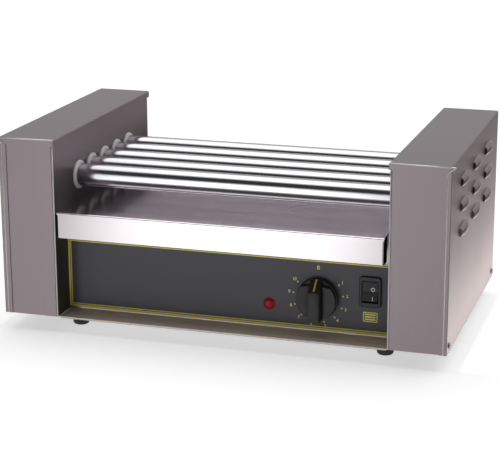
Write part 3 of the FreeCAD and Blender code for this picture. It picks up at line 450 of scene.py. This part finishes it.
def frame_lines():
    """The film's border: a broad band at its edge and a fine line inside it."""
    shape = bmesh.new()
    for inset, width in BORDER:
        x0, x1 = OVERLAY_LOW[0] + inset, OVERLAY_HIGH[0] - inset
        z0, z1 = OVERLAY_LOW[2] + inset, OVERLAY_HIGH[2] - inset
        for low, high in (((x0, z0), (x1, z0 + width)), ((x0, z1 - width), (x1, z1)),
                          ((x0, z0 + width), (x0 + width, z1 - width)),
                          ((x1 - width, z0 + width), (x1, z1 - width))):
            outline = [low, (high[0], low[1]), high, (low[0], high[1])]
            add_prism(shape, outline, on_film, 0.0, INK)
    new_piece("film_border", shape, "chassis", MATERIALS["yellow_print"])


DIAL = JOINTS["thermostat_turn"]["pos_m"][::2]      # X and Z of the knob's axis
DIAL_FIRST, DIAL_STEP = 55.0, 250.0 / 9      # degrees from 0 to 1, and from each number to the next
ZERO_REACH, ZERO_SIZE = 0.0362, 0.0068       # the 0's distance from the axis and its letter size
NUMBER_REACH, NUMBER_SIZE = 0.0353, 0.0052
DOT_REACH, DOT_RADIUS = 0.0303, 0.0010


def dial_angle(number):
    return 0.0 if number == 0 else DIAL_FIRST + DIAL_STEP * (number - 1)


def text_mesh(text, size):
    """Outline mesh of a short text, centred on the origin of its own plane."""
    letters = bpy.data.curves.new("letters", "FONT")
    letters.body = text
    letters.size = size
    letters.align_x = "CENTER"
    letters.align_y = "CENTER"
    letters.extrude = INK / 2
    letters.offset = size * 0.022
    holder = bpy.data.objects.new("letters", letters)
    bpy.context.collection.objects.link(holder)
    bpy.context.view_layer.update()
    mesh = bpy.data.meshes.new_from_object(holder.evaluated_get(bpy.context.evaluated_depsgraph_get()))
    bpy.data.objects.remove(holder)
    bpy.data.curves.remove(letters)
    return mesh


def dial_print():
    """Numbers 0 to 10 round the knob, with a dot before each number from 1."""
    numbers = bmesh.new()
    dots = bmesh.new()
    stand = Matrix.Rotation(math.pi / 2, 4, "X")
    for number in range(11):
        turn = math.radians(dial_angle(number))
        reach, size = (NUMBER_REACH, NUMBER_SIZE) if number else (ZERO_REACH, ZERO_SIZE)
        mesh = text_mesh(str(number), size)
        spot = Vector((DIAL[0] + reach * math.sin(turn), FILM_FACE - INK / 2,
                       DIAL[1] + reach * math.cos(turn)))
        mesh.transform(Matrix.Translation(spot) @ stand)
        numbers.from_mesh(mesh)
        bpy.data.meshes.remove(mesh)
        if number:
            centre = (DIAL[0] + DOT_REACH * math.sin(turn), DIAL[1] + DOT_REACH * math.cos(turn))
            add_prism(dots, circle(DOT_RADIUS, 20, centre=centre), on_film, 0.0, INK)
    new_piece("dial_numbers", numbers, "chassis", MATERIALS["yellow_print"])
    new_piece("dial_dots", dots, "chassis", MATERIALS["yellow_print"])


BADGE_LOW, BADGE_HIGH = (0.1664, 0.0395), (0.1835, 0.0515)
BADGE_LINE, BADGE_CORNER = 0.0010, 0.0014
BAR_HEIGHT, BAR_PITCH, BAR_INSET, BAR_CORNER = 0.0018, 0.0030, 0.0022, 0.0006


def rounded_box(a0, a1, b0, b1, radius):
    """Outline of a box with round corners."""
    points = []
    for centre, start in (((a1 - radius, b1 - radius), 0), ((a0 + radius, b1 - radius), 90),
                          ((a0 + radius, b0 + radius), 180), ((a1 - radius, b0 + radius), 270)):
        points += [(centre[0] + radius * math.cos(math.radians(start + 15 * k)),
                    centre[1] + radius * math.sin(math.radians(start + 15 * k))) for k in range(7)]
    return points


def badge():
    """Plain printed plate under the switch: an outline round three bars."""
    shape = bmesh.new()
    (x0, z0), (x1, z1), line = BADGE_LOW, BADGE_HIGH, BADGE_LINE
    outer = rounded_box(x0, x1, z0, z1, BADGE_CORNER)
    inner = rounded_box(x0 + line, x1 - line, z0 + line, z1 - line, BADGE_CORNER - line * 0.6)
    add_band(shape, outer, inner, on_film)
    for k in range(3):
        middle = z0 + BAR_PITCH * (k + 1)
        bar = rounded_box(x0 + BAR_INSET, x1 - BAR_INSET, middle - BAR_HEIGHT / 2, middle + BAR_HEIGHT / 2,
                          BAR_CORNER)
        add_prism(shape, bar, on_film, 0.0, INK)
    new_piece("panel_badge", shape, "chassis", MATERIALS["yellow_print"])


KNOB_LOW, KNOB_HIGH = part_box("thermostat_knob")
KNOB_BACK = KNOB_HIGH[1]
KNOB_RADIUS = (KNOB_HIGH[0] - KNOB_LOW[0]) / 2
SKIRT_TOP = 0.0047                   # heights are measured from the knob's back
SHOULDER_FOOT, SHOULDER_TOP = 0.0040, 0.0112
SHOULDER_CHORD = 0.0168              # where the half-moons are cut off on the pointer's side
BAR_HALF = 0.0070
BAR_FRONT = KNOB_BACK - KNOB_LOW[1]
BAR_BEVEL_FROM = 0.0050              # the bar's edges are rounded above this height
POINTER_HALF, POINTER_THICK = 0.0009, 0.0002
SAME = 1e-6                          # two coordinates closer than this are one


def on_knob(a, b, height):
    return (DIAL[0] + a, KNOB_BACK - height, DIAL[1] + b)


def knob_piece(name, shape):
    return new_piece(name, shape, "thermostat_control", MATERIALS["knob_plastic"], 35)


def knob():
    """Skirt, two flat half-moon shoulders, and a grip bar that ramps down to the skirt at the pointer."""
    skirt = bmesh.new()
    rim = KNOB_RADIUS
    add_lathe(skirt, (DIAL[0], KNOB_BACK, DIAL[1]),
              [(0.0, 0.0), (rim - 0.0006, 0.0), (rim, 0.0006), (rim, 0.0030), (rim - 0.0003, 0.0037),
               (rim - 0.0010, 0.0042), (rim - 0.0040, SKIRT_TOP), (0.0, SKIRT_TOP)])
    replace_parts(knob_piece("knob_skirt", skirt), "thermostat_knob")

    shoulders = bmesh.new()
    reach, gap = rim - 0.0014, BAR_HALF + 0.0002
    start, end = math.degrees(math.asin(SHOULDER_CHORD / reach)), -math.degrees(math.acos(gap / reach))
    arc = circle(reach, 40, start, end) + circle(reach, 1, end, end)
    for side in (-1, 1):
        outline = [(side * a, b) for a, b in [(gap, SHOULDER_CHORD + 0.0015)] + arc]
        top = add_prism(shoulders, outline, on_knob, SHOULDER_FOOT, SHOULDER_TOP)
        bevel(shoulders, list(top.edges), 0.0012)
    knob_piece("knob_shoulders", shoulders)

    bar = bmesh.new()
    side_view = [(-0.0243, 0.0042), (-0.0246, 0.0190), (-0.0236, 0.0206), (-0.0218, BAR_FRONT),
                 (0.0112, BAR_FRONT), (0.0132, 0.0197), (0.0226, 0.0070), (0.0232, 0.0042)]
    add_prism(bar, side_view, lambda b, height, a: on_knob(a, b, height), -BAR_HALF, BAR_HALF)
    rims = [edge for edge in bar.edges
            if abs(abs(edge.verts[0].co.x - DIAL[0]) - BAR_HALF) < SAME
            and abs(edge.verts[0].co.x - edge.verts[1].co.x) < SAME
            and min(KNOB_BACK - vert.co.y for vert in edge.verts) > BAR_BEVEL_FROM]
    bevel(bar, rims, 0.0009)
    knob_piece("knob_bar", bar)

    pointer = bmesh.new()
    slope = ((0.0138, 0.0190), (0.0226, 0.00715), (0.0242, SKIRT_TOP))
    for low, high in zip(slope, slope[1:]):
        run, rise = high[0] - low[0], high[1] - low[1]
        size = math.hypot(run, rise)
        lift = (-rise / size * POINTER_THICK, run / size * POINTER_THICK)
        corners = [(a, b + k * lift[0], height + k * lift[1])
                   for k in (0, 1) for b, height in (low, high) for a in (-POINTER_HALF, POINTER_HALF)]
        verts = [pointer.verts.new(on_knob(*corner)) for corner in corners]
        for face in ((0, 1, 3, 2), (4, 5, 7, 6), (0, 1, 5, 4), (2, 3, 7, 6), (0, 2, 6, 4), (1, 3, 7, 5)):
            pointer.faces.new([verts[k] for k in face])
    new_piece("knob_pointer", pointer, "thermostat_control", MATERIALS["yellow_print"])


ROCKER = JOINTS["power_switch_rock"]
ROCKER_PIVOT = Vector(ROCKER["pos_m"])
ROCKER_REST = -math.radians(ROCKER["range_deg"][1] / 2)
ROCKER_FOLD = -0.0052                # Y of the fold between the faces, from the pivot
ROCKER_TIP = (-0.0076, 0.0116)       # Y and Z of a face's far edge, from the pivot
MARK_X = 0.0033                      # the marks stand to the right of the pivot's middle
RING_MIDDLE, RING_OUTER, RING_INNER = 0.0024, 0.0024, 0.0016
STROKE_LOW, STROKE_HIGH, STROKE_HALF = 0.0062, 0.0108, 0.0005


def rocker_marks():
    """White O and I printed on the rocker's two faces."""
    shape = bmesh.new()
    turn = Matrix.Rotation(ROCKER_REST, 3, "X")
    slope = (ROCKER_TIP[0] - ROCKER_FOLD) / ROCKER_TIP[1]
    run = math.hypot(1.0, slope)

    def on_face(way):
        """Place marks on the upper face (way 1) or the lower one (-1); b runs outwards from the fold."""
        def place(a, b, height):
            y = ROCKER_FOLD + slope * abs(b) / run - height
            return ROCKER_PIVOT + turn @ Vector((a + MARK_X, y, way * abs(b) / run))
        return place

    add_band(shape, circle(RING_OUTER, 32, centre=(0.0, RING_MIDDLE)),
             circle(RING_INNER, 32, centre=(0.0, RING_MIDDLE)), on_face(1))
    stroke = [(-STROKE_HALF, STROKE_LOW), (STROKE_HALF, STROKE_LOW),
              (STROKE_HALF, STROKE_HIGH), (-STROKE_HALF, STROKE_HIGH)]
    add_prism(shape, stroke, on_face(-1), 0.0, INK)
    new_piece("rocker_marks", shape, "switch_rocker", MATERIALS["white_print"])


LENS_LOW, LENS_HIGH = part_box("pilot_lamp_lens")


def lamp_lens():
    """Red lens: a collar and a dome cut into flat facets."""
    shape = bmesh.new()
    centre = ((LENS_LOW[0] + LENS_HIGH[0]) / 2, LENS_HIGH[1], (LENS_LOW[2] + LENS_HIGH[2]) / 2)
    radius = (LENS_HIGH[0] - LENS_LOW[0]) / 2
    depth = LENS_HIGH[1] - LENS_LOW[1]
    add_lathe(shape, centre, [(0.0, 0.0), (radius, 0.0), (radius, depth * 0.35),
                              (radius * 0.93, depth * 0.42), (radius * 0.88, depth * 0.42)], 48)
    facets = 14
    step = 360.0 / facets
    # radius and height of each ring of facet corners, and its turn in steps
    levels = ((radius * 0.86, depth * 0.40, 0.0), (radius * 0.74, depth * 0.72, 0.5),
              (radius * 0.46, depth * 0.93, 0.0), (radius * 0.16, depth, 0.5))
    rings = []
    for ring_radius, height, shift in levels:
        points = circle(ring_radius, facets, shift * step, 360.0 + shift * step)
        rings.append([shape.verts.new((centre[0] + a, centre[1] - height, centre[2] + b))
                      for a, b in points])
    for index, (first, second) in enumerate(zip(rings, rings[1:])):
        for k in range(facets):
            after = (k + 1) % facets
            if index % 2 == 0:
                shape.faces.new((first[k], first[after], second[k]))
                shape.faces.new((second[k], first[after], second[after]))
            else:
                shape.faces.new((first[k], second[after], second[k]))
                shape.faces.new((first[k], first[after], second[after]))
    shape.faces.new(rings[-1])
    piece = new_piece("pilot_lens", shape, "chassis", MATERIALS["lamp_red"])
    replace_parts(piece, "pilot_lamp_lens")


folded_edges()
frame_lines()
dial_print()
badge()
knob()
rocker_marks()
lamp_lens()


# ---- stage ------------------------------------------------------------------------------------
FLOOR_HALF = 14.0
FLOOR_TONE, FLOOR_GLOW = 0.60, 0.56


def floor():
    """Plain pale floor, lifted to the photo's white by a glow of its own."""
    mesh = bpy.data.meshes.new("floor")
    size = FLOOR_HALF
    mesh.from_pydata([(-size, -size, 0), (size, -size, 0), (size, size, 0), (-size, size, 0)], [],
                     [(0, 1, 2, 3)])
    piece = bpy.data.objects.new("floor", mesh)
    bpy.context.collection.objects.link(piece)
    material, tree, shader = new_material("floor_look")
    patches = spread(tree, noise(tree, position(tree), 3.0), 0.99, 1.01)
    link(tree, shade(tree, (FLOOR_TONE,) * 3, patches), shader.inputs["Base Color"])
    shader.inputs["Roughness"].default_value = 0.9
    shader.inputs["Emission Color"].default_value = (1.0, 1.0, 1.0, 1.0)
    shader.inputs["Emission Strength"].default_value = FLOOR_GLOW
    mesh.materials.append(material)
    piece.visible_glossy = False


def ramp(tree, value, stops):
    """Colour ramp over an angle from -180 to 180 degrees; stops are (angle, level)."""
    node = add(tree, "ShaderNodeValToRGB")
    elements = node.color_ramp.elements
    while len(elements) < len(stops):
        elements.new(0.5)
    for element, (angle, level) in zip(elements, stops):
        element.position = (angle + 180.0) / 360.0
        element.color = (level, level, level, 1.0)
    link(tree, value, node.inputs["Fac"])
    return node.outputs["Color"]


# brightness over the angle about X: 0 in front, 90 overhead, 180 behind, -90 below
WALLS = [(-180, 0.48), (-150, 0.40), (-90, 0.36), (-42, 0.60), (-20, 0.46), (-11, 0.27), (20, 0.22),
         (36, 0.04), (68, 0.05), (80, 0.25), (136, 0.32), (152, 0.53), (180, 0.50)]
CEILING = [(-180, 0), (70, 0), (84, 1.5), (110, 1.7), (130, 1.3), (142, 0), (180, 0)]
PANEL = [(-180, 0), (-27, 0), (-17, 2.2), (14, 2.0), (34, 0), (180, 0)]
# X of the directions between which each edge fades
CEILING_LEFT, PANEL_LEFT, PANEL_RIGHT = (-0.42, -0.34), (-0.408, -0.355), (-0.235, -0.180)
CEILING_LEFT_LEVEL = 0.35


def studio_world():
    """Soft studio: dim all round, a broad bright ceiling, and a bright panel to the front left."""
    world = bpy.data.worlds.new("studio")
    bpy.context.scene.world = world
    world.use_nodes = True
    tree = world.node_tree
    background = tree.nodes["Background"]
    way = split(tree, add(tree, "ShaderNodeTexCoord").outputs["Generated"])
    turn = maths(tree, "ARCTAN2", way["Z"], maths(tree, "MULTIPLY", way["Y"], -1.0))
    share = maths(tree, "ADD", maths(tree, "DIVIDE", turn, 2 * math.pi), 0.5)
    ceiling_left = spread(tree, fade(tree, way["X"], *CEILING_LEFT), CEILING_LEFT_LEVEL, 1.0)
    ceiling = vector_maths(tree, "SCALE", ramp(tree, share, CEILING), ceiling_left)
    open_right = maths(tree, "SUBTRACT", 1.0, fade(tree, way["X"], *PANEL_RIGHT))
    opening = maths(tree, "MULTIPLY", fade(tree, way["X"], *PANEL_LEFT), open_right)
    panel = vector_maths(tree, "SCALE", ramp(tree, share, PANEL), opening)
    lights = vector_maths(tree, "ADD", ceiling, panel)
    link(tree, vector_maths(tree, "ADD", ramp(tree, share, WALLS), lights), background.inputs["Color"])
    background.inputs["Strength"].default_value = 1.0


CARD_X, CARD_Y, CARD_Z = (0.285, 1.8), (-0.15, 2.2), 0.0005
CARD_FADE = (0.27, 0.46)             # |x| over which a card dims
CARD_NEAR_LEVEL, CARD_FAR_LEVEL = 1.95, 0.25


def side_cards():
    """Pale reflectors lying beside the machine, seen only in its side sheets."""
    material = bpy.data.materials.new("card_look")
    material.use_nodes = True
    tree = material.node_tree
    tree.nodes.clear()
    shine = add(tree, "ShaderNodeEmission")
    out = add(tree, "ShaderNodeOutputMaterial")
    link(tree, shine.outputs["Emission"], out.inputs["Surface"])
    away = fade(tree, maths(tree, "ABSOLUTE", split(tree, position(tree))["X"]), *CARD_FADE)
    shine.inputs["Color"].default_value = (1.0, 0.93, 0.90, 1.0)
    link(tree, spread(tree, away, CARD_NEAR_LEVEL, CARD_FAR_LEVEL), shine.inputs["Strength"])
    for side in (-1, 1):
        mesh = bpy.data.meshes.new("side_card")
        near, far = (side * x for x in CARD_X)
        front, back = CARD_Y
        mesh.from_pydata([(near, front, CARD_Z), (far, front, CARD_Z), (far, back, CARD_Z),
                          (near, back, CARD_Z)], [], [(0, 1, 2, 3)])
        mesh.materials.append(material)
        piece = bpy.data.objects.new("side_card", mesh)
        bpy.context.collection.objects.link(piece)
        piece.visible_camera = False
        piece.visible_diffuse = False
        piece.visible_shadow = False


CAMERA_PLACE = Vector((0.5776, -1.8791, 0.6584))
CAMERA_TURN = (17.34, 15.583, -0.218)     # azimuth, elevation, roll in degrees
CAMERA_LENS = 117.5


def camera():
    azimuth, elevation, roll = (math.radians(angle) for angle in CAMERA_TURN)
    back = Vector((math.sin(azimuth) * math.cos(elevation), -math.cos(azimuth) * math.cos(elevation),
                   math.sin(elevation)))
    right = Vector((math.cos(azimuth), math.sin(azimuth), 0.0))
    up = back.cross(right)
    turned_right = math.cos(roll) * right + math.sin(roll) * up
    turned_up = -math.sin(roll) * right + math.cos(roll) * up
    data = bpy.data.cameras.new("camera")
    data.lens = CAMERA_LENS
    data.sensor_width = 36.0
    piece = bpy.data.objects.new("camera", data)
    bpy.context.collection.objects.link(piece)
    turn = Matrix((turned_right, turned_up, back)).transposed().to_4x4()
    piece.matrix_world = Matrix.Translation(CAMERA_PLACE) @ turn
    bpy.context.scene.camera = piece


floor()
studio_world()
side_cards()
camera()
bpy.context.scene.view_settings.view_transform = "Standard"
